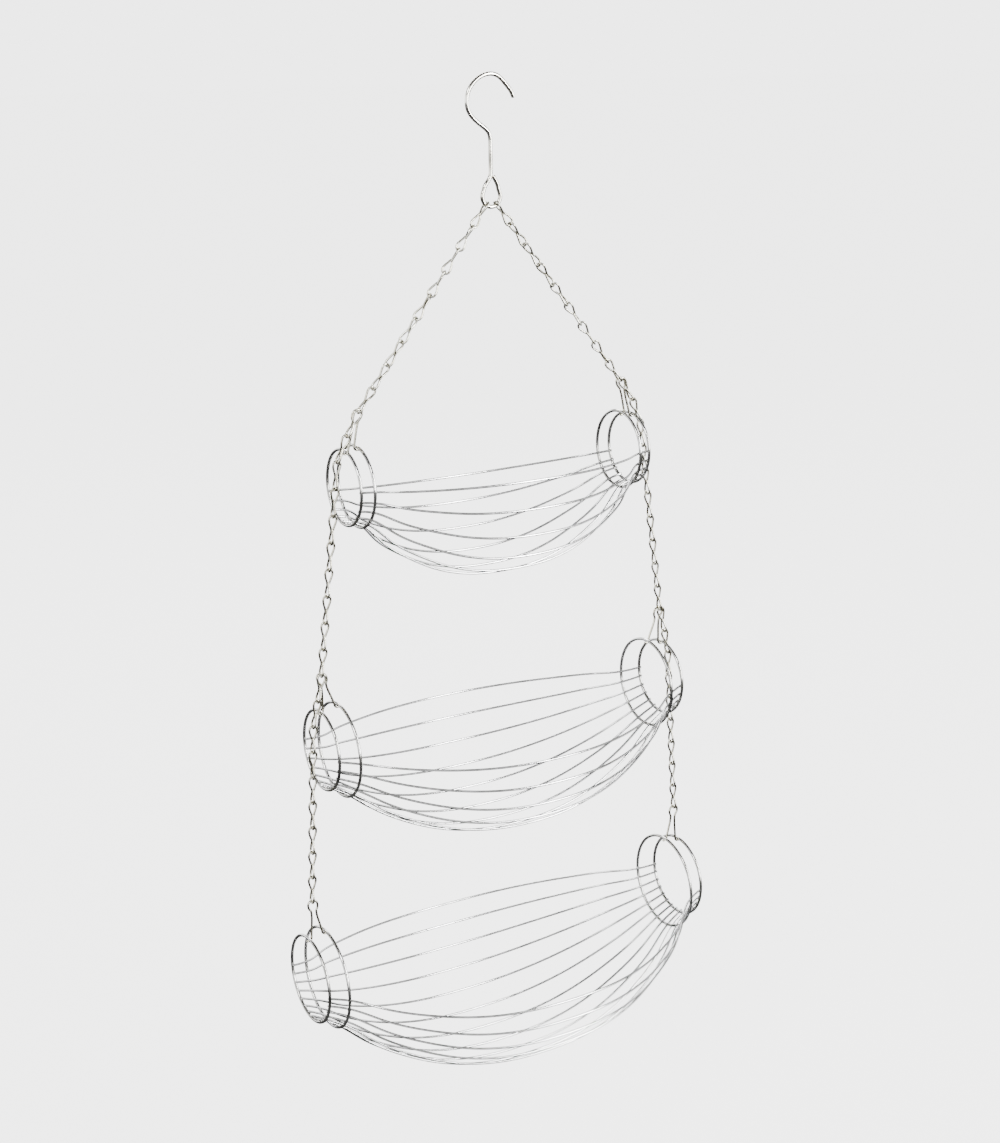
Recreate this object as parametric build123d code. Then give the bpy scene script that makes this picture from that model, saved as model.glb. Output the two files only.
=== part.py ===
from build123d import *
import math
import os

# Three-tier wire hanging basket. Millimetres; X along the baskets, Z up,
# origin on the saddle of the top hook, in the middle of the hanging plane.

# ---- driving dimensions -------------------------------------------------
SADDLE_Z = 91.2          # saddle above the datum of the profile tables below
HOOK_WIRE = 3.4
LINK_WIRE = 1.8
BAIL_WIRE = 1.9
RING_WIRE = 2.6
RIB_WIRE = 1.9

LINK_PITCH = 21.9        # node to node of one jack-chain link
LINK_END_R = 3.2         # centreline radius of a link's round end
LINK_CORNER = 4.4        # half width of the triangle that a loop is rounded from
LINK_WAIST = 0.35        # where the wire crosses from one loop to the other
LINK_END_Y = 1.36        # cut ends of the wire, beside the waist
GAP = 0.05               # half of the clearance where two links bear

EYE_R = 8.3              # centreline radius of the hook's eye
EYE_Z = -1.7             # eye centre
V_ANGLE = 37.8           # upper chains from the vertical, degrees
V_LINKS = 9
TWIST = 11.25            # twist from link to link in the upper chains
SIDE = 1.15              # bail behind and lower link in front, side by side in one loop
STEP_Y = -1.15           # the lower link keeps its own depth, and the next one comes back to the middle
SEAT = 0.55              # height of a side seat above the middle of a loop
BAIL_SEAT = 1.6          # height of a bail's wire above the node, seated to the side

# lower chains: lean of each stretch from the vertical, degrees
LEAN_10 = 32.0           # out from the junction
LEAN_11 = 24.5           # past the top basket's outer ring
LEAN_M = 7.2             # straight down to the middle junction
LEAN_20 = 12.2
LEAN_21 = 12.4
LEAN_L = 3.1
MID_LINKS = 8            # links from N11 to J2
LOW_LINKS = 7            # links from N21 to J3

# baskets: ring centre height z, outer ring half span X and radius R,
# inner ring offset dX, dZ and radius Ri, last rib's angle, belly half width W
# and depth H about z+zc, spread, exponents, number of ribs, roll about X
BASKETS = [
    dict(name="top", z=-223.2, X=137.5, R=30.8, dX=10.7, dZ=-0.4, Ri=33.3, amax=83.0, W=70.1, H=61.8, zc=-26.1, kap=1.266, py=2.53, pz=2.33, N=11, roll=-9.0),
    dict(name="middle", z=-438.2, X=169.6, R=33.5, dX=15.9, dZ=-2.8, Ri=39.5, amax=89.1, W=94.1, H=78.6, zc=-18.8, kap=1.060, py=2.19, pz=2.27, N=13, roll=0.0),
    dict(name="bottom", z=-639.0, X=189.9, R=37.1, dX=15.3, dZ=-2.6, Ri=43.0, amax=85.2, W=109.0, H=89.1, zc=-23.8, kap=1.044, py=2.42, pz=2.33, N=15, roll=0.0),
]
WELD = 0.05              # depth that a rib is pressed into a ring
RIB_OVER = 0.5           # rib end past the outer ring's plane
HOOK_R = 2.6             # centreline radius of a bail's hook
HOOK_PAST = 30.0         # degrees that a bail's hook runs past its lowest point
OMEGA_R = 4.2            # centreline radius of a bail's top loop


# ---- helpers --------------------------------------------------------------
def sub(a, b):
    return (a[0] - b[0], a[1] - b[1], a[2] - b[2])


def add(a, b, k=1.0):
    return (a[0] + k * b[0], a[1] + k * b[1], a[2] + k * b[2])


def dot(a, b):
    return a[0] * b[0] + a[1] * b[1] + a[2] * b[2]


def length(a):
    return math.sqrt(dot(a, a))


def unit(a):
    n = length(a)
    return (a[0] / n, a[1] / n, a[2] / n)


def cross(a, b):
    return (a[1] * b[2] - a[2] * b[1], a[2] * b[0] - a[0] * b[2], a[0] * b[1] - a[1] * b[0])


def bends(points, radius):
    """For each inner corner: (start of the arc, its middle, its end), or None on a straight run."""
    seg = [length(sub(points[i + 1], points[i])) for i in range(len(points) - 1)]
    out = []
    for i in range(1, len(points) - 1):
        u = unit(sub(points[i - 1], points[i]))
        v = unit(sub(points[i + 1], points[i]))
        c = max(-1.0, min(1.0, dot(u, v)))
        turn = math.pi - math.acos(c)
        if turn < 0.004:
            out.append(None)
            continue
        room = 0.485 * min(seg[i - 1], seg[i])
        r = radius[i] if isinstance(radius, (list, tuple)) else radius
        t = min(r * math.tan(turn / 2), room)
        r = t / math.tan(turn / 2)
        bis = unit(add(u, v))
        far = r / math.cos(turn / 2)
        mid = add(points[i], bis, far - r)
        out.append((add(points[i], u, t), mid, add(points[i], v, t)))
    return out


def tube(points, wire, radius):
    """A bent wire: straight runs and tangent arcs, swept with a round section."""
    edges = []
    at = points[0]
    for i, b in enumerate(bends(points, radius)):
        if b is None:
            continue
        edges.append(Edge.make_line(at, b[0]))
        edges.append(Edge.make_three_point_arc(b[0], b[1], b[2]))
        at = b[2]
    edges.append(Edge.make_line(at, points[-1]))
    path = Wire(edges)
    start = Plane(origin=points[0], z_dir=unit(sub(points[1], points[0])))
    return sweep(start * Circle(wire / 2), path=path)


def samples(points, radius, step=0.4):
    """Points along the same bent centreline."""
    out = []
    at = points[0]

    def run(a, b):
        n = max(1, int(length(sub(b, a)) / step))
        out.extend(add(a, sub(b, a), k / n) for k in range(n))

    for b in bends(points, radius):
        if b is None:
            continue
        run(at, b[0])
        for k in range(8):
            s = k / 8
            q = add(add(b[0], sub(b[1], b[0]), 2 * s), (0, 0, 0)) if s < 0.5 else add(b[1], sub(b[2], b[1]), 2 * s - 1)
            out.append(q)
        at = b[2]
    run(at, points[-1])
    out.append(points[-1])
    return out


def one(shape, name):
    s = shape.solids()
    assert len(s) == 1, (name, len(s))
    return s[0]


def up(p):
    return (p[0], p[1], p[2] - SADDLE_Z)


# ---- a chain link: one wire bent into two teardrop loops at right angles ---
def link_solid():
    top = LINK_WIRE / 2 + GAP          # wire centre past the node
    half = LINK_PITCH / 2
    w = LINK_CORNER
    path = [
        (0, -LINK_END_Y, -half + 1.25),
        (0, -w, top),
        (0, w, top),
        (LINK_WAIST, LINK_WAIST, -half),
        (w, 0, -LINK_PITCH - top),
        (-w, 0, -LINK_PITCH - top),
        (-LINK_END_Y, 0, -half - 1.25),
    ]
    return one(tube(path, LINK_WIRE, LINK_END_R), "link")


LINK = link_solid()


def place_link(a, b, twist=0.0):
    """A link from node a down to node b; at twist 0 its upper loop opens along Y."""
    d = unit(sub(b, a))
    zl = (-d[0], -d[1], -d[2])
    y = (0.0, 1.0, 0.0)
    y = unit(add(y, zl, -dot(y, zl)))
    x = cross(y, zl)
    t = math.radians(twist)
    xd = add((x[0] * math.cos(t), x[1] * math.cos(t), x[2] * math.cos(t)), y, math.sin(t))
    mid = add(a, sub(b, a), 0.5)
    start = add(mid, d, -LINK_PITCH / 2)
    return Plane(origin=up(start), x_dir=xd, z_dir=zl).location * LINK


def mirror_x(p):
    return (-p[0], p[1], p[2])


def run_nodes(a, b, n):
    return [add(a, sub(b, a), k / n) for k in range(n + 1)]


NODES = {}


def put(name, solids):
    NODES[name] = solids


# ---- hook -----------------------------------------------------------------
hook_path = [
    (22.0, 0, 74.8), (15.3, 0, 84.6), (8.6, 0, 90.9), (1.2, 0, 93.2), (-6.2, 0, 91.9), (-13.8, 0, 87.4),
    (-19.6, 0, 79.4), (-20.9, 0, 72.3), (-19.7, 0, 65.2), (-13.6, 0, 57.7), (-1.3, 0, 48.6), (0, 0, 44.0), (0, 0, 16.5),
]
# the eye: down the left, round the bottom, up the right and against the shank
e = EYE_R
eye = [(-6.6, 0, 6.9)]
for deg in range(165, 361 + 15, 15):
    a = math.radians(deg)
    k = 1 / math.cos(math.radians(7.5))
    eye.append((e * k * math.cos(a), 0, EYE_Z + e * k * math.sin(a)))
eye = [q for q in eye if q[2] < 3.5 or q[0] < -6]
eye += [(6.9, 0, 6.3), (2.4, 0, 13.8)]
hook = tube([up(q) for q in hook_path + eye], HOOK_WIRE, 12.0)
put("hook", [one(hook, "hook")])

# ---- chains ---------------------------------------------------------------
ca, sa = math.cos(math.radians(V_ANGLE)), math.sin(math.radians(V_ANGLE))
inner = EYE_R - HOOK_WIRE / 2
V0 = (inner * sa, 0.0, EYE_Z - inner * ca)
VD = (sa, 0.0, -ca)
V = [add(V0, VD, LINK_PITCH * k) for k in range(V_LINKS + 1)]
J1 = V[-1]


def step(a, lean, y, n=1):
    """The node n links below a, leaning outwards by lean degrees and ending at depth y."""
    run = math.sqrt((n * LINK_PITCH) ** 2 - (y - a[1]) ** 2)
    t = math.radians(lean)
    return (a[0] + run * math.sin(t), y, a[2] - run * math.cos(t))


S10 = add(J1, (0, -SIDE, SEAT / ca))
N10 = step(S10, LEAN_10, STEP_Y)
N11 = step(N10, LEAN_11, 0.0)
J2 = step(N11, LEAN_M, 0.0, MID_LINKS)
S20 = add(J2, (0, -SIDE, SEAT))
N20 = step(S20, LEAN_20, STEP_Y)
N21 = step(N20, LEAN_21, 0.0)
J3 = step(N21, LEAN_L, 0.0, LOW_LINKS)
M = run_nodes(N11, J2, MID_LINKS)
L = run_nodes(N21, J3, LOW_LINKS)
for side, f in (("right", lambda p: p), ("left", mirror_x)):
    s = 1 if side == "right" else -1
    put(f"upper_{side}_top_link", [place_link(f(V[0]), f(V[1]))])
    put(f"upper_{side}_chain", [place_link(f(V[k]), f(V[k + 1]), s * TWIST * k) for k in range(1, V_LINKS)])
    put(f"middle_{side}_hanger_link", [place_link(f(S10), f(N10), 90)])
    put(f"middle_{side}_swing_link", [place_link(f(N10), f(N11), 90)])
    put(f"middle_{side}_chain", [place_link(f(M[k]), f(M[k + 1]), 90) for k in range(MID_LINKS)])
    put(f"bottom_{side}_hanger_link", [place_link(f(S20), f(N20), 90)])
    put(f"bottom_{side}_swing_link", [place_link(f(N20), f(N21), 90)])
    put(f"bottom_{side}_chain", [place_link(f(L[k]), f(L[k + 1]), 90) for k in range(LOW_LINKS)])


# ---- baskets --------------------------------------------------------------
def ring(x, z, r):
    return Location((x, 0, z - SADDLE_Z), (0, 90, 0)) * Torus(r, RING_WIRE / 2)


def circle_gap(points, x, z, r):
    """Least distance from points to the circle of radius r about the X axis at (x, z)."""
    best = 1e9
    for p in points:
        rad = math.hypot(p[1], p[2] - z)
        best = min(best, math.hypot(p[0] - x, rad - r))
    return best


def rib_points(b, a, off_o, off_i):
    X, xi = b["X"], b["X"] - b["dX"]
    s, c = math.sin(a), math.cos(a)
    ro, ri = b["R"] - off_o, b["Ri"] - off_i
    po = (X, ro * s, b["z"] - ro * c)
    pi = (xi, ri * s, b["z"] + b["dZ"] - ri * c)
    ym = b["W"] * math.sin(b["kap"] * a)
    zm = b["z"] + b["zc"] - b["H"] * math.cos(b["kap"] * a)
    half = []
    d = unit(sub(po, pi))
    half.append(add(po, d, RIB_OVER))
    half.append(pi)
    for t in (0.86, 0.70, 0.52, 0.34, 0.17):
        half.append((xi * t, ym - (ym - pi[1]) * t ** b["py"], zm - (zm - pi[2]) * t ** b["pz"]))
    mid = [(0.0, ym, zm)]
    return half + mid + [mirror_x(p) for p in reversed(half)]


def fitted_rib(b, a):
    want = (RING_WIRE + RIB_WIRE) / 2 - WELD
    off_o, off_i = want, want * 1.1
    for _ in range(6):
        pts = rib_points(b, a, off_o, off_i)
        sm = [q for q in samples(pts, 60.0) if q[0] > 0]
        go = circle_gap(sm, b["X"], b["z"], b["R"])
        gi = circle_gap(sm, b["X"] - b["dX"], b["z"] + b["dZ"], b["Ri"])
        off_o += want - go
        off_i += want - gi
    return rib_points(b, a, off_o, off_i)


def bail(b, node, s):
    """One bail, flat in the plane y = b["y0"], from its two ring hooks up to its top loop at the node."""
    zt = b["bail_z"]                   # wire centre at the top of the loop
    xo, xi = b["X"], b["X"] - b["dX"]
    lift = HOOK_R - BAIL_WIRE / 2 - RING_WIRE / 2 - b["hook_gap"]
    zo, zi = b["ring_o"] + lift, b["ring_i"] + lift
    e = math.radians(-90 + HOOK_PAST)
    tan = (-math.sin(e), math.cos(e))
    back = HOOK_R * math.tan(math.radians(HOOK_PAST / 2))

    def leg(x, zc, out):
        # tip past the lowest point, round under the ring, up on the side of the other ring
        tip = (x + out * HOOK_R * math.cos(e), zc + HOOK_R * math.sin(e))
        return [tip, (tip[0] - out * tan[0] * back, tip[1] - tan[1] * back), (x - out * HOOK_R * 0.98, zc - HOOK_R), (x - out * HOOK_R * 1.02, zc + 1.8)]

    foot = ((xo + xi) / 2, (zo + zi) / 2 + 2.0)
    lean = (foot[0] - node[0]) / (foot[1] - zt)

    def axis(z):
        return node[0] + lean * (z - zt)

    r = OMEGA_R
    loop = []
    for dx, dz in ((1.5, -2 * r - 1.6), (1.0 * r, -1.62 * r), (1.02 * r, -0.55 * r), (0.45 * r, 0.0), (-0.45 * r, 0.0), (-1.02 * r, -0.55 * r), (-1.0 * r, -1.62 * r), (-1.5, -2 * r - 1.6)):
        loop.append((axis(zt + dz) + dx, zt + dz))
    path = leg(xo, zo, 1) + loop + list(reversed(leg(xi, zi, -1)))
    return tube([up((s * q[0], b["y0"], q[1])) for q in path], BAIL_WIRE, 5.0)


def node_for(b):
    return {"top": J1, "middle": J2, "bottom": J3}[b["name"]]


info = {}
for b in BASKETS:
    ribs = []
    for i in range(b["N"]):
        a = math.radians(-b["amax"] + 2 * b["amax"] * i / (b["N"] - 1))
        ribs.append([up(q) for q in fitted_rib(b, a)])
    # middle of mass of the ribs and rings, for the roll's equilibrium
    my = mz = m = 0.0
    for r in ribs:
        sm = samples(r, 60.0, 2.0)
        for p, q in zip(sm, sm[1:]):
            w = length(sub(q, p)) * RIB_WIRE ** 2
            my += w * (p[1] + q[1]) / 2
            mz += w * (p[2] + q[2]) / 2
            m += w
    for r, z in ((b["R"], b["z"]), (b["Ri"], b["z"] + b["dZ"])):
        w = 2 * 2 * math.pi * r * RING_WIRE ** 2
        mz += w * (z - SADDLE_Z)
        m += w
    com = (my / m, mz / m)
    # roll about the axis of the outer rings, then slide in Y so that the middle of mass hangs under Y = 0
    g = math.radians(b["roll"])
    zr = b["z"] - SADDLE_Z
    cy = com[0] * math.cos(g) - (com[1] - zr) * math.sin(g)
    # the bail's plane, and its wire's height in the chain's loop
    b["y0"] = 0.0 if b["name"] == "bottom" else SIDE
    seat = BAIL_WIRE / 2 + GAP if b["name"] == "bottom" else BAIL_SEAT
    b["bail_z"] = node_for(b)[2] + seat / (ca if b["name"] == "top" else 1.0)
    b["hook_gap"] = 0.2 if b["roll"] else 0.1
    b["yc"] = b["y0"] - cy
    b["ring_o"] = b["z"] + math.sqrt(b["R"] ** 2 - (b["yc"] - b["y0"]) ** 2)
    iy = b["yc"] - b["dZ"] * math.sin(g)
    iz = b["z"] + b["dZ"] * math.cos(g)
    b["ring_i"] = iz + math.sqrt(b["Ri"] ** 2 - (iy - b["y0"]) ** 2)
    mv = Location((0, b["yc"], 0)) * Location((0, 0, zr)) * Location((0, 0, 0), (b["roll"], 0, 0)) * Location((0, 0, -zr))
    n = b["name"]
    for side, s in (("left", -1), ("right", 1)):
        put(f"{n}_{side}_outer_ring", [one(mv * ring(s * b["X"], b["z"], b["R"]), n)])
        put(f"{n}_{side}_inner_ring", [one(mv * ring(s * (b["X"] - b["dX"]), b["z"] + b["dZ"], b["Ri"]), n)])
        put(f"{n}_{side}_bail", [one(bail(b, node_for(b), s), f"{n} bail")])
    keel = b["N"] // 2
    tubes = [one(mv * tube(r, RIB_WIRE, 60.0), f"{n} rib {i}") for i, r in enumerate(ribs)]
    put(f"{n}_front_ribs", tubes[:keel])
    put(f"{n}_keel_rib", [tubes[keel]])
    put(f"{n}_back_ribs", tubes[keel + 1:])
    info[n] = (b["yc"], b["y0"], b["ring_o"] - SADDLE_Z, b["ring_i"] - SADDLE_Z, b["bail_z"] - SADDLE_Z)

os.makedirs("parts", exist_ok=True)
for name, solids in NODES.items():
    export_step(Compound(solids) if len(solids) > 1 else solids[0], f"parts/{name}.step")
print(len(NODES), "nodes", sum(len(s) for s in NODES.values()), "solids")
for n, p in (("V1", V[1]), ("J1", J1), ("S10", S10), ("N10", N10), ("N11", N11), ("J2", J2), ("S20", S20), ("N20", N20), ("N21", N21), ("J3", J3)):
    print(n, [round(c, 4) for c in up(p)])
print(info)
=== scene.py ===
import bpy
import math
import numpy as np
from mathutils import Matrix, Vector


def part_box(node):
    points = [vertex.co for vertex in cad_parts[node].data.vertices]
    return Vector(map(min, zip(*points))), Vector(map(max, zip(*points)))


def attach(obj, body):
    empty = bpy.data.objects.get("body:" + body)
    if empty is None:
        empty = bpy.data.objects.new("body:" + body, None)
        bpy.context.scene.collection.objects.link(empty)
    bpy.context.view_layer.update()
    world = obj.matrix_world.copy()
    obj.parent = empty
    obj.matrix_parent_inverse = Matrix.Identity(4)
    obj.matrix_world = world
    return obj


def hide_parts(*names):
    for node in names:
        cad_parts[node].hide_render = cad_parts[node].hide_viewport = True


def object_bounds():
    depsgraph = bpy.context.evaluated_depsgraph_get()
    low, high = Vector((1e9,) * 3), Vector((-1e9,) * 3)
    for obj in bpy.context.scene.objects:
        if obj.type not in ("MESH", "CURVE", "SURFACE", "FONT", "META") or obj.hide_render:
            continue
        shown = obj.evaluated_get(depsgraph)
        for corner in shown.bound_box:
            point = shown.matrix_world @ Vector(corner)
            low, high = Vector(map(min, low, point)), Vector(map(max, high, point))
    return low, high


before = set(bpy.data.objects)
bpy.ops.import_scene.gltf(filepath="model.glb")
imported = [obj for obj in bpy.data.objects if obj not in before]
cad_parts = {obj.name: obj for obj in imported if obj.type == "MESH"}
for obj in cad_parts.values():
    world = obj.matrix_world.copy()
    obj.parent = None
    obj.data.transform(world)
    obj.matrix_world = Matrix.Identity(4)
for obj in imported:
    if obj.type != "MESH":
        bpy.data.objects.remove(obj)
cad_box = [list(v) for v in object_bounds()]
MM = 0.001
rng = np.random.default_rng(7)

# ---- the wires' dimensions, in millimetres, as in the CAD -----------------
SADDLE_Z = 91.2
HOOK_WIRE, LINK_WIRE, BAIL_WIRE, RING_WIRE, RIB_WIRE = 3.4, 1.8, 1.9, 2.6, 1.9
P = 21.9
END_R, GAP = 3.2, 0.05
EYE_R, EYE_Z, V_ANGLE, V_LINKS, TWIST = 8.3, -1.7, 37.8, 9, 11.25
SIDE, STEP_Y, SEAT, BAIL_SEAT = 1.15, -1.15, 0.55, 1.6
LEAN_10, LEAN_11, LEAN_M, LEAN_20, LEAN_21, LEAN_L = 32.0, 24.5, 7.2, 12.2, 12.4, 3.1
MID_LINKS, LOW_LINKS = 8, 7
BASKETS = [
    dict(name="top", z=-223.2, X=137.5, R=30.8, dX=10.7, dZ=-0.4, Ri=33.3, amax=83.0, W=70.1, H=61.8, zc=-26.1, kap=1.266, py=2.53, pz=2.33, N=11, roll=-9.0),
    dict(name="middle", z=-438.2, X=169.6, R=33.5, dX=15.9, dZ=-2.8, Ri=39.5, amax=89.1, W=94.1, H=78.6, zc=-18.8, kap=1.060, py=2.19, pz=2.27, N=13, roll=0.0),
    dict(name="bottom", z=-639.0, X=189.9, R=37.1, dX=15.3, dZ=-2.6, Ri=43.0, amax=85.2, W=109.0, H=89.1, zc=-23.8, kap=1.044, py=2.42, pz=2.33, N=15, roll=0.0),
]
HOOK_R, HOOK_PAST, OMEGA_R = 2.6, 30.0, 4.2


# ---- curve and sweep helpers ----------------------------------------------
def spline(points, n=8, closed=False):
    """A smooth cubic through the points (natural ends), n samples to each span."""
    p = np.asarray(points, float)
    if closed:
        p = np.vstack([p[-3:], p, p[:3]])
    d = np.linalg.norm(np.diff(p, axis=0), axis=1) ** 0.7
    t = np.concatenate([[0], np.cumsum(d)])
    m = len(p)
    a = np.zeros((m, m))
    r = np.zeros((m, 3))
    a[0, 0] = a[-1, -1] = 1
    for i in range(1, m - 1):
        h0, h1 = t[i] - t[i - 1], t[i + 1] - t[i]
        a[i, i - 1], a[i, i], a[i, i + 1] = h0, 2 * (h0 + h1), h1
        r[i] = 6 * ((p[i + 1] - p[i]) / h1 - (p[i] - p[i - 1]) / h0)
    k = np.linalg.solve(a, r)
    out = []
    lo, hi = (3, m - 3) if closed else (0, m - 1)
    for i in range(lo, hi):
        h = t[i + 1] - t[i]
        for s in np.arange(n) / n:
            u, v = (1 - s) * h, s * h
            out.append(
                k[i] * u ** 3 / (6 * h) + k[i + 1] * v ** 3 / (6 * h)
                + (p[i] / h - k[i] * h / 6) * u + (p[i + 1] / h - k[i + 1] * h / 6) * v
            )
    if not closed:
        out.append(p[-1])
    return np.array(out)


def bspline(points, n=8):
    """A bent wire along a control polygon: passes the middles of its legs, tangent to them."""
    p = np.asarray(points, float)
    mid = (p[1:] + p[:-1]) / 2
    out = [p[0]]
    for i in range(len(mid) - 1):
        for s in np.arange(n) / n:
            out.append((1 - s) ** 2 * mid[i] + 2 * s * (1 - s) * p[i + 1] + s * s * mid[i + 1])
    out.append(mid[-1])
    out.append(p[-1])
    return np.array(out)


class Mesh:
    def __init__(self):
        self.v, self.f, self.n = [], [], 0

    def add(self, v, f):
        self.v.append(np.asarray(v, float))
        self.f += [tuple(i + self.n for i in q) for q in f]
        self.n += len(v)

    def wire(self, path, radius, closed=False, sides=14, cap="round"):
        """A round wire swept along the path, its ends closed by small rounded caps."""
        p = np.asarray(path, float)
        m = len(p)
        if closed:
            tan = np.roll(p, -1, 0) - np.roll(p, 1, 0)
        else:
            tan = np.gradient(p, axis=0)
        tan /= np.linalg.norm(tan, axis=1)[:, None]
        rad = np.full(m, float(radius))
        if not closed and cap == "round":
            # short crowned ends, as from a cutter and a tumbler
            extra0 = [p[0] - tan[0] * radius * k for k in (0.42, 0.30, 0.12)]
            extra1 = [p[-1] + tan[-1] * radius * k for k in (0.12, 0.30, 0.42)]
            p = np.vstack([extra0, p, extra1])
            tan = np.vstack([np.repeat(tan[:1], 3, 0), tan, np.repeat(tan[-1:], 3, 0)])
            e = np.array([0.45, 0.78, 0.96]) * radius
            rad = np.concatenate([e, rad, e[::-1]])
            m = len(p)
        up = np.array([0, 0, 1.0]) if abs(tan[0][2]) < 0.9 else np.array([1.0, 0, 0])
        x = np.cross(up, tan[0])
        x /= np.linalg.norm(x)
        fr = [x]
        for i in range(1, m):
            x = x - tan[i] * np.dot(x, tan[i])
            x /= np.linalg.norm(x)
            fr.append(x)
        fr = np.array(fr)
        turn = 0.0
        if closed:
            x = fr[-1] - tan[0] * np.dot(fr[-1], tan[0])
            x /= np.linalg.norm(x)
            turn = math.atan2(np.dot(np.cross(x, fr[0]), tan[0]), np.dot(x, fr[0]))
        ang = np.arange(sides) * 2 * math.pi / sides
        vs = []
        for i in range(m):
            y = np.cross(tan[i], fr[i])
            a = ang + turn * i / m
            vs.append(p[i] + rad[i] * (np.cos(a)[:, None] * fr[i] + np.sin(a)[:, None] * y))
        vs = np.concatenate(vs)
        fs = []
        rows = m if closed else m - 1
        for i in range(rows):
            j = (i + 1) % m
            for s in range(sides):
                q = (s + 1) % sides
                fs.append((i * sides + s, i * sides + q, j * sides + q, j * sides + s))
        if not closed:
            fs.append(tuple(range(sides))[::-1])
            fs.append(tuple((m - 1) * sides + s for s in range(sides)))
        self.add(vs, fs)

    def nugget(self, centre, along, across, size):
        """A small flattened weld bead at a crossing."""
        along = np.asarray(along, float)
        along /= np.linalg.norm(along)
        across = np.asarray(across, float)
        across -= along * np.dot(along, across)
        across /= np.linalg.norm(across)
        n = np.cross(along, across)
        nu, nv = 12, 7
        vs, fs = [], []
        for j in range(1, nv):
            b = math.pi * j / nv
            for i in range(nu):
                a = 2 * math.pi * i / nu
                w = 1 + 0.06 * rng.standard_normal()
                vs.append(centre + w * (size[0] * math.sin(b) * math.cos(a) * along + size[1] * math.sin(b) * math.sin(a) * across) + size[2] * math.cos(b) * n)
        for j in range(nv - 2):
            for i in range(nu):
                k = (i + 1) % nu
                fs.append((j * nu + i, (j + 1) * nu + i, (j + 1) * nu + k, j * nu + k))
        top, bot = len(vs), len(vs) + 1
        vs.append(centre + size[2] * n)
        vs.append(centre - size[2] * n)
        for i in range(nu):
            k = (i + 1) % nu
            fs.append((top, i, k))
            fs.append((bot, (nv - 2) * nu + k, (nv - 2) * nu + i))
        self.add(vs, fs)

    def make(self, name, body, slot, material, *nodes):
        me = bpy.data.meshes.new(name)
        v = np.concatenate(self.v) * MM
        me.from_pydata(v.tolist(), [], self.f)
        me.validate()
        me.shade_smooth()
        o = bpy.data.objects.new(name, me)
        bpy.context.scene.collection.objects.link(o)
        me.materials.append(material)
        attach(o, body)
        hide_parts(*nodes)
        return o


def v3(*a):
    return np.array(a, float)


def unit(a):
    return a / np.linalg.norm(a)


def mir(p):
    q = np.array(p, float)
    q[..., 0] *= -1
    return q


def low(p):
    q = np.array(p, float)
    q[..., 2] -= SADDLE_Z
    return q


# ---- materials --------------------------------------------------------------
def plated(name, base, dark, warm, rough, scale):
    """Bright plated wire: drawn-wire streaks, patches of haze and faint tarnish, small pits."""
    m = bpy.data.materials.new(name)
    m.use_nodes = True
    nt = m.node_tree
    nt.nodes.clear()
    N = nt.nodes.new
    L = nt.links.new
    out = N("ShaderNodeOutputMaterial")
    b = N("ShaderNodeBsdfPrincipled")
    L(b.outputs[0], out.inputs[0])
    b.inputs["Metallic"].default_value = 1.0
    tc = N("ShaderNodeTexCoord")
    haze = N("ShaderNodeTexNoise")
    haze.inputs["Scale"].default_value = 55 * scale
    haze.inputs["Detail"].default_value = 6
    fine = N("ShaderNodeTexNoise")
    fine.inputs["Scale"].default_value = 900 * scale
    fine.inputs["Detail"].default_value = 4
    pit = N("ShaderNodeTexVoronoi")
    pit.inputs["Scale"].default_value = 420 * scale
    for n in (haze, fine, pit):
        L(tc.outputs["Object"], n.inputs["Vector"])
    ramp = N("ShaderNodeValToRGB")
    ramp.color_ramp.elements[0].position = 0.32
    ramp.color_ramp.elements[0].color = (*dark, 1)
    ramp.color_ramp.elements[1].position = 0.62
    ramp.color_ramp.elements[1].color = (*base, 1)
    e = ramp.color_ramp.elements.new(0.45)
    e.color = (*warm, 1)
    L(haze.outputs["Fac"], ramp.inputs["Fac"])
    L(ramp.outputs["Color"], b.inputs["Base Color"])
    rr = N("ShaderNodeMapRange")
    rr.inputs["From Min"].default_value = 0.3
    rr.inputs["From Max"].default_value = 0.7
    rr.inputs["To Min"].default_value = rough[0]
    rr.inputs["To Max"].default_value = rough[1]
    L(fine.outputs["Fac"], rr.inputs["Value"])
    L(rr.outputs["Result"], b.inputs["Roughness"])
    pr = N("ShaderNodeMapRange")
    pr.inputs["From Min"].default_value = 0.0
    pr.inputs["From Max"].default_value = 0.25
    L(pit.outputs["Distance"], pr.inputs["Value"])
    mix = N("ShaderNodeMath")
    mix.operation = "MULTIPLY_ADD"
    mix.inputs[1].default_value = 0.5
    L(fine.outputs["Fac"], mix.inputs[0])
    L(pr.outputs["Result"], mix.inputs[2])
    bump = N("ShaderNodeBump")
    bump.inputs["Strength"].default_value = 0.22
    bump.inputs["Distance"].default_value = 0.00006
    L(mix.outputs[0], bump.inputs["Height"])
    L(bump.outputs["Normal"], b.inputs["Normal"])
    return m


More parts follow.
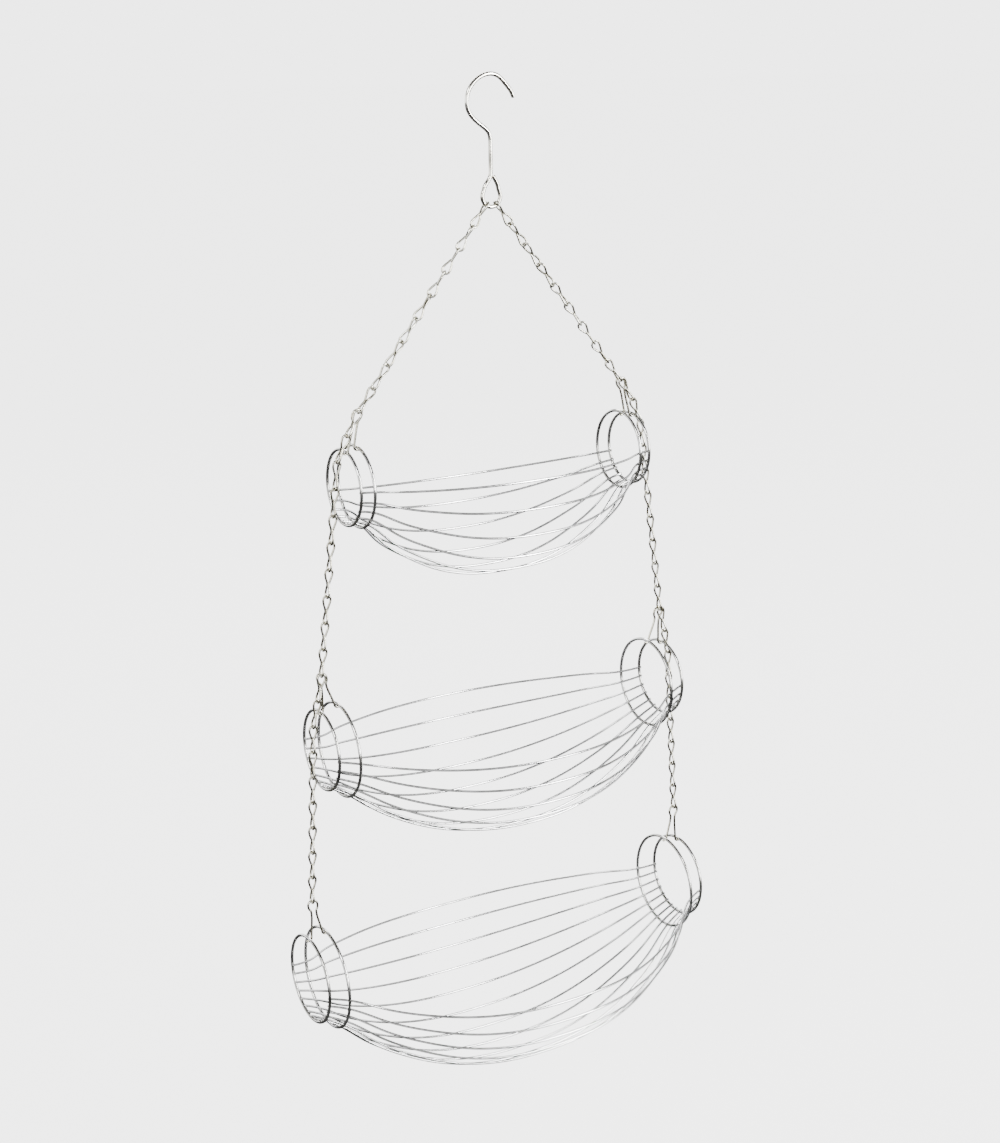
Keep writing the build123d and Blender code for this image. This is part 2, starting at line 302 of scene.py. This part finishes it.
M_HOOK = plated("plated_hook", (0.62, 0.61, 0.57), (0.30, 0.29, 0.26), (0.50, 0.48, 0.42), (0.10, 0.22), 0.7)
M_CHAIN = plated("plated_chain", (0.58, 0.57, 0.50), (0.24, 0.23, 0.18), (0.46, 0.44, 0.36), (0.12, 0.28), 1.0)
M_BAIL = plated("plated_bail", (0.56, 0.55, 0.47), (0.24, 0.23, 0.18), (0.46, 0.44, 0.35), (0.12, 0.28), 1.0)
M_RING = plated("plated_ring", (0.58, 0.58, 0.575), (0.24, 0.24, 0.235), (0.44, 0.435, 0.41), (0.08, 0.22), 0.9)
M_RIB = plated("plated_rib", (0.60, 0.60, 0.605), (0.30, 0.30, 0.30), (0.48, 0.48, 0.475), (0.10, 0.24), 0.9)
M_WELD = plated("plated_weld", (0.44, 0.44, 0.43), (0.18, 0.18, 0.17), (0.32, 0.31, 0.29), (0.22, 0.42), 2.0)

# ---- hook --------------------------------------------------------------------
crook = [
    (22.0, 0, 74.8), (19.6, 0, 79.6), (15.3, 0, 84.5), (8.6, 0, 90.8), (1.4, 0, 92.9), (-6.2, 0, 91.6), (-13.6, 0, 87.2),
    (-19.3, 0, 79.3), (-20.7, 0, 72.3), (-19.5, 0, 65.4), (-13.6, 0, 58.0), (-5.0, 0, 51.6), (-0.9, 0, 47.2), (0, 0, 41.0), (0, 0, 30.0), (0, 0, 19.0), (-1.2, 0, 12.6), (-5.6, 0, 6.6),
]
eye = []
for deg in range(150, 391, 15):
    a = math.radians(deg)
    eye.append((EYE_R * math.cos(a), 0, EYE_Z + EYE_R * math.sin(a)))
eye = [q for q in eye if q[2] < 3.0]
eye += [(6.3, 0, 6.0), (4.6, 0, 10.0), (2.9, 0, 12.9), (2.35, 0, 13.8)]
m = Mesh()
m.wire(low(spline(crook + eye, 9)), HOOK_WIRE / 2, sides=24)
m.make("hook_wire", "hook", "hook_wire", M_HOOK, "hook")

# ---- chain links ---------------------------------------------------------------
c0 = LINK_WIRE / 2 + GAP - END_R
# one bent wire: cut end at the waist, round the upper loop, through the waist, round the lower loop, cut end
one_link = [
    (0, -0.80, -11.5), (0, -1.15, -10.2), (0, -2.05, -7.4), (0, -2.92, -4.6),
    (0, -END_R, c0 - 0.1), (0, -END_R * 0.76, c0 + END_R * 0.65), (0, 0, c0 + END_R), (0, END_R * 0.76, c0 + END_R * 0.65), (0, END_R, c0 - 0.1),
    (0, 2.92, -4.6), (0, 2.0, -7.6), (0.15, 1.02, -9.8), (0.58, 0.58, -10.95), (1.02, 0.15, -12.1),
    (2.0, 0, -P + 7.6), (2.92, 0, -P + 4.6), (END_R, 0, -P - c0 + 0.1), (END_R * 0.76, 0, -P - c0 - END_R * 0.65), (0, 0, -P - c0 - END_R),
    (-END_R * 0.76, 0, -P - c0 - END_R * 0.65), (-END_R, 0, -P - c0 + 0.1), (-2.92, 0, -P + 4.6), (-2.05, 0, -P + 7.4), (-1.15, 0, -P + 10.2), (-0.80, 0, -P + 11.5),
]
LINK = spline(one_link, 5)


def add_link(mesh, a, b, twist=0.0, mean=1.0, vary=0.012):
    a, b = v3(*a), v3(*b)
    d = unit(b - a)
    zl = -d
    y = v3(0, 1, 0)
    y = unit(y - zl * np.dot(y, zl))
    x = np.cross(y, zl)
    t = math.radians(twist)
    xd = unit(x * math.cos(t) + y * math.sin(t))
    yd = np.cross(zl, xd)
    start = (a + b) / 2 - d * P / 2
    # small differences from link to link, well inside the slack
    j = mean + vary * rng.standard_normal()
    pts = LINK.copy()
    pts[:, :2] *= j
    world = start + pts[:, :1] * xd + pts[:, 1:2] * yd + pts[:, 2:3] * zl
    mesh.wire(low(world), LINK_WIRE / 2, sides=12)


def nodes_between(a, b, n):
    a, b = v3(*a), v3(*b)
    return [a + (b - a) * k / n for k in range(n + 1)]


def step(a, lean, y, n=1):
    run = math.sqrt((n * P) ** 2 - (y - a[1]) ** 2)
    t = math.radians(lean)
    return v3(a[0] + run * math.sin(t), y, a[2] - run * math.cos(t))


ca, sa = math.cos(math.radians(V_ANGLE)), math.sin(math.radians(V_ANGLE))
inner = EYE_R - HOOK_WIRE / 2
V = [v3(inner * sa, 0, EYE_Z - inner * ca) + v3(sa, 0, -ca) * P * k for k in range(V_LINKS + 1)]
J1 = V[-1]
S10 = J1 + v3(0, -SIDE, SEAT / ca)
N10 = step(S10, LEAN_10, STEP_Y)
N11 = step(N10, LEAN_11, 0.0)
J2 = step(N11, LEAN_M, 0.0, MID_LINKS)
S20 = J2 + v3(0, -SIDE, SEAT)
N20 = step(S20, LEAN_20, STEP_Y)
N21 = step(N20, LEAN_21, 0.0)
J3 = step(N21, LEAN_L, 0.0, LOW_LINKS)
RUN_M = nodes_between(N11, J2, MID_LINKS)
RUN_L = nodes_between(N21, J3, LOW_LINKS)

for side, f in (("right", lambda q: q), ("left", mir)):
    s = 1 if side == "right" else -1
    todo = [
        (f"upper_{side}_top_link", "eye_links", [(V[0], V[1], 0)]),
        (f"upper_{side}_chain", "upper_chains", [(V[k], V[k + 1], s * TWIST * k) for k in range(1, V_LINKS)]),
        (f"middle_{side}_hanger_link", "upper_chains", [(S10, N10, 90)]),
        (f"middle_{side}_swing_link", "middle_swing_links", [(N10, N11, 90)]),
        (f"middle_{side}_chain", f"middle_{side}_chain", [(RUN_M[k], RUN_M[k + 1], 90) for k in range(MID_LINKS)]),
        (f"bottom_{side}_hanger_link", "middle_bails", [(S20, N20, 90)]),
        (f"bottom_{side}_swing_link", "bottom_swing_links", [(N20, N21, 90)]),
        (f"bottom_{side}_chain", f"bottom_{side}_chain", [(RUN_L[k], RUN_L[k + 1], 90) for k in range(LOW_LINKS)]),
    ]
    for node, body, links in todo:
        m = Mesh()
        for a, b, t in links:
            add_link(m, f(a), f(b), t, *((1.06, 0.0) if "hanger" in node else (1.0, 0.008)))
        m.make(node + "_wire", body, "chain_wire", M_CHAIN, node)


# ---- baskets -------------------------------------------------------------------
def rib_points(b, a, off_o, off_i):
    X, xi = b["X"], b["X"] - b["dX"]
    s, c = math.sin(a), math.cos(a)
    ro, ri = b["R"] - off_o, b["Ri"] - off_i
    po = v3(X, ro * s, b["z"] - ro * c)
    pi = v3(xi, ri * s, b["z"] + b["dZ"] - ri * c)
    ym = b["W"] * math.sin(b["kap"] * a)
    zm = b["z"] + b["zc"] - b["H"] * math.cos(b["kap"] * a)
    half = [po + unit(po - pi) * 0.35, po, pi]
    for t in (0.86, 0.70, 0.52, 0.34, 0.17):
        half.append(v3(xi * t, ym - (ym - pi[1]) * t ** b["py"], zm - (zm - pi[2]) * t ** b["pz"]))
    return half + [v3(0, ym, zm)] + [mir(p) for p in reversed(half)]


def ring_gap(path, x, z, r):
    rad = np.hypot(path[:, 1], path[:, 2] - z)
    d = np.hypot(path[:, 0] - x, rad - r)
    i = int(np.argmin(d))
    return d[i], i


def smooth_rib(b, a):
    want = (RING_WIRE + RIB_WIRE) / 2 - 0.12
    off_o, off_i = want, want * 1.1
    for _ in range(6):
        path = spline(rib_points(b, a, off_o, off_i), 10)
        half = path[path[:, 0] > 0]
        off_o += want - ring_gap(half, b["X"], b["z"], b["R"])[0]
        off_i += want - ring_gap(half, b["X"] - b["dX"], b["z"] + b["dZ"], b["Ri"])[0]
    return spline(rib_points(b, a, off_o, off_i), 12)


def bail_path(b, node):
    zt = b["bail_z"]
    xo, xi = b["X"], b["X"] - b["dX"]
    lift = HOOK_R - BAIL_WIRE / 2 - RING_WIRE / 2 - b["hook_gap"]
    zo, zi = b["ring_o"] + lift, b["ring_i"] + lift
    e = math.radians(-90 + HOOK_PAST)

    def leg(x, zc, out):
        # the tip, then a control polygon round the ring's wire at the foot's own radius
        r = HOOK_R * 1.03
        pts = [(x + out * r * math.cos(e), zc + r * math.sin(e))]
        k = r / math.cos(math.radians(15))
        for deg in (-75, -105, -135, -165, -195):
            q = math.radians(deg)
            pts.append((x + out * k * math.cos(q), zc + k * math.sin(q)))
        return pts

    foot = ((xo + xi) / 2, (zo + zi) / 2 + 2.0)
    lean = (foot[0] - node[0]) / (foot[1] - zt)
    r = OMEGA_R
    loop = []
    for dx, dz in ((1.5, -2 * r - 1.6), (1.0 * r, -1.62 * r), (1.02 * r, -0.55 * r), (0.45 * r, 0.0), (-0.45 * r, 0.0), (-1.02 * r, -0.55 * r), (-1.0 * r, -1.62 * r), (-1.5, -2 * r - 1.6)):
        loop.append((node[0] + lean * dz + dx, zt + dz))
    path = leg(xo, zo, 1) + loop + list(reversed(leg(xi, zi, -1)))
    return bspline([(q[0], b["y0"], q[1]) for q in path], 9)


for b in BASKETS:
    n = b["name"]
    ribs = [smooth_rib(b, math.radians(-b["amax"] + 2 * b["amax"] * i / (b["N"] - 1))) for i in range(b["N"])]
    # the CAD's place of this basket: read from its rings' own boxes
    lo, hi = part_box(f"{n}_right_outer_ring")
    yc = (lo[1] + hi[1]) / 2 * 1000
    g = math.radians(b["roll"])
    b["yc"] = yc
    b["y0"] = 0.0 if n == "bottom" else SIDE
    b["hook_gap"] = 0.2 if b["roll"] else 0.1
    node = {"top": J1, "middle": J2, "bottom": J3}[n]
    seat = BAIL_WIRE / 2 + GAP if n == "bottom" else BAIL_SEAT
    b["bail_z"] = node[2] + seat / (ca if n == "top" else 1.0)
    b["ring_o"] = b["z"] + math.sqrt(b["R"] ** 2 - (yc - b["y0"]) ** 2)
    iy = yc - b["dZ"] * math.sin(g)
    iz = b["z"] + b["dZ"] * math.cos(g)
    b["ring_i"] = iz + math.sqrt(b["Ri"] ** 2 - (iy - b["y0"]) ** 2)

    def turned(p, b=b, g=g, yc=yc):
        q = np.array(p, float)
        y, z = q[..., 1].copy(), q[..., 2] - b["z"]
        q[..., 1] = y * math.cos(g) - z * math.sin(g) + yc
        q[..., 2] = y * math.sin(g) + z * math.cos(g) + b["z"]
        return low(q)

    body = f"{n}_basket"
    ang = np.arange(120) * 2 * math.pi / 120
    rings = {"outer": (b["X"], b["z"], b["R"]), "inner": (b["X"] - b["dX"], b["z"] + b["dZ"], b["Ri"])}
    for side, s in (("left", -1), ("right", 1)):
        for kind, (x, z, r) in rings.items():
            m = Mesh()
            c = np.stack([np.full(120, s * x), r * np.sin(ang), z + r * np.cos(ang)], 1)
            m.wire(turned(c), RING_WIRE / 2, closed=True, sides=18)
            # butt weld of the ring, low on the back
            k = 2.35 + 0.2 * (kind == "inner")
            at = v3(s * x, r * math.sin(k), z + r * math.cos(k))
            m.nugget(turned(at), turned(at + v3(0, math.cos(k), -math.sin(k))) - turned(at), v3(1, 0, 0), (0.9, 1.42, 1.42))
            m.make(f"{n}_{side}_{kind}_ring_wire", body, "ring_wire", M_RING, f"{n}_{side}_{kind}_ring")
        m = Mesh()
        path = bail_path(b, node)
        m.wire(low(path if s == 1 else mir(path)), BAIL_WIRE / 2, sides=14)
        m.make(f"{n}_{side}_bail_wire", {"top": "top_bails", "middle": "middle_bails", "bottom": "bottom_bails"}[n], "bail_wire", M_BAIL, f"{n}_{side}_bail")
    keel = b["N"] // 2
    for group, rows in (("front_ribs", range(keel)), ("keel_rib", [keel]), ("back_ribs", range(keel + 1, b["N"]))):
        m = Mesh()
        w = Mesh()
        for i in rows:
            path = ribs[i]
            m.wire(turned(path), RIB_WIRE / 2, sides=14)
            for s in (-1, 1):
                for x, z, r in rings.values():
                    sel = np.where(path[:, 0] * s > 0)[0]
                    _, k = ring_gap(np.column_stack([np.abs(path[sel, 0]), path[sel, 1], path[sel, 2]]), x, z, r)
                    k = sel[k]
                    k0, k1 = max(k - 1, 0), min(k + 1, len(path) - 1)
                    along = path[k1] - path[k0]
                    radial = unit(v3(0, path[k][1], path[k][2] - z))
                    c = path[k] + radial * (RIB_WIRE / 2 - 0.02)
                    round_ = np.cross(v3(1, 0, 0), radial)
                    w.nugget(turned(c), turned(path[k] + along) - turned(path[k]), turned(path[k] + round_) - turned(path[k]), (1.25, 1.15, 0.42))
        o = m.make(f"{n}_{group}_wire", body, "rib_wire", M_RIB, f"{n}_{group}")
        me = bpy.data.meshes.new(f"{n}_{group}_welds")
        me.from_pydata((np.concatenate(w.v) * MM).tolist(), [], w.f)
        me.validate()
        me.shade_smooth()
        me.materials.append(M_WELD)
        ow = bpy.data.objects.new(f"{n}_{group}_welds", me)
        bpy.context.scene.collection.objects.link(ow)
        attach(ow, body)

# ---- stage -------------------------------------------------------------------------
lo, hi = (Vector(c) for c in cad_box)
floor_z = lo.z - 0.10
PALE = 4.0

S = 60.0
me = bpy.data.meshes.new("stage_floor")
me.from_pydata([(-S, -S, floor_z), (S, -S, floor_z), (S, S, floor_z), (-S, S, floor_z)], [], [(0, 1, 2, 3)])
floor = bpy.data.objects.new("stage_floor", me)
mat = bpy.data.materials.new("pale_floor")
mat.use_nodes = True
bs = mat.node_tree.nodes["Principled BSDF"]
bs.inputs["Base Color"].default_value = (0.30, 0.30, 0.30, 1)
bs.inputs["Roughness"].default_value = 0.9
bs.inputs["Specular IOR Level"].default_value = 0.0
bs.inputs["Emission Color"].default_value = (1, 1, 0.995, 1)
bs.inputs["Emission Strength"].default_value = PALE - 0.22
me.materials.append(mat)
bpy.context.scene.collection.objects.link(floor)
floor.visible_glossy = False   # the wires mirror the dim lower studio, not the bright floor

# a studio: pale all round at eye height, dim overhead, so that the wires show a dark and a light side
world = bpy.data.worlds.new("studio")
bpy.context.scene.world = world
world.use_nodes = True
nt = world.node_tree
nt.nodes.clear()
wo = nt.nodes.new("ShaderNodeOutputWorld")
bg = nt.nodes.new("ShaderNodeBackground")
nt.links.new(bg.outputs[0], wo.inputs[0])
tc = nt.nodes.new("ShaderNodeTexCoord")
sep = nt.nodes.new("ShaderNodeSeparateXYZ")
nt.links.new(tc.outputs["Generated"], sep.inputs[0])
mr = nt.nodes.new("ShaderNodeMapRange")
mr.inputs["From Min"].default_value = -1.0
mr.inputs["From Max"].default_value = 1.0
nt.links.new(sep.outputs["Z"], mr.inputs["Value"])
ramp = nt.nodes.new("ShaderNodeValToRGB")
el = ramp.color_ramp.elements
el[0].position, el[0].color = 0.0, (0.03, 0.03, 0.03, 1)
el[1].position, el[1].color = 1.0, (0.05, 0.05, 0.05, 1)
for at, v in ((0.30, 0.03), (0.42, 0.09), (0.465, 0.11), (0.478, 1.0), (0.62, 1.0), (0.70, 0.06), (0.80, 0.03)):
    e = el.new(at)
    e.color = (v, v, v, 1)
nt.links.new(mr.outputs["Result"], ramp.inputs["Fac"])
nt.links.new(ramp.outputs["Color"], bg.inputs["Color"])
bg.inputs["Strength"].default_value = PALE


def soft(name, at, size, power, target=(0, 0, -0.45)):
    li = bpy.data.lights.new(name, "AREA")
    li.shape = "RECTANGLE"
    li.size, li.size_y = size
    li.energy = power
    o = bpy.data.objects.new(name, li)
    bpy.context.scene.collection.objects.link(o)
    o.location = at
    d = Vector(target) - Vector(at)
    o.rotation_euler = d.to_track_quat("-Z", "Y").to_euler()
    return o


soft("strip", (1.25, -2.0, 0.35), (0.45, 1.8), 150)
soft("key", (-2.0, -1.2, 1.6), (0.9, 0.9), 80)
soft("rim", (0.6, 2.2, 1.3), (1.2, 0.6), 50)

# ---- camera ------------------------------------------------------------------------
phi, pitch, yaw, roll = math.radians(30.447), math.radians(15.62), math.radians(0.067), math.radians(1.01)
fw = Vector((math.sin(yaw) * math.cos(pitch), math.cos(yaw) * math.cos(pitch), -math.sin(pitch)))
rt = Vector((math.cos(yaw), -math.sin(yaw), 0))
up = rt.cross(fw)
rr = rt * math.cos(roll) - up * math.sin(roll)
uu = rr.cross(fw)
turn = Matrix.Rotation(-phi, 3, "Z")
fw, rr, uu = turn @ fw, turn @ rr, turn @ uu
pos = turn @ Vector((0, -1.5, 0.1063)) - Vector((0, 0, SADDLE_Z * MM))
cam = bpy.data.cameras.new("photo_view")
cam.sensor_fit = "HORIZONTAL"
cam.sensor_width = 36.0
cam.lens = 66.405
co = bpy.data.objects.new("photo_view", cam)
bpy.context.scene.collection.objects.link(co)
mat = Matrix((rr, uu, -fw)).transposed().to_4x4()
mat.translation = pos
co.matrix_world = mat
bpy.context.scene.camera = co
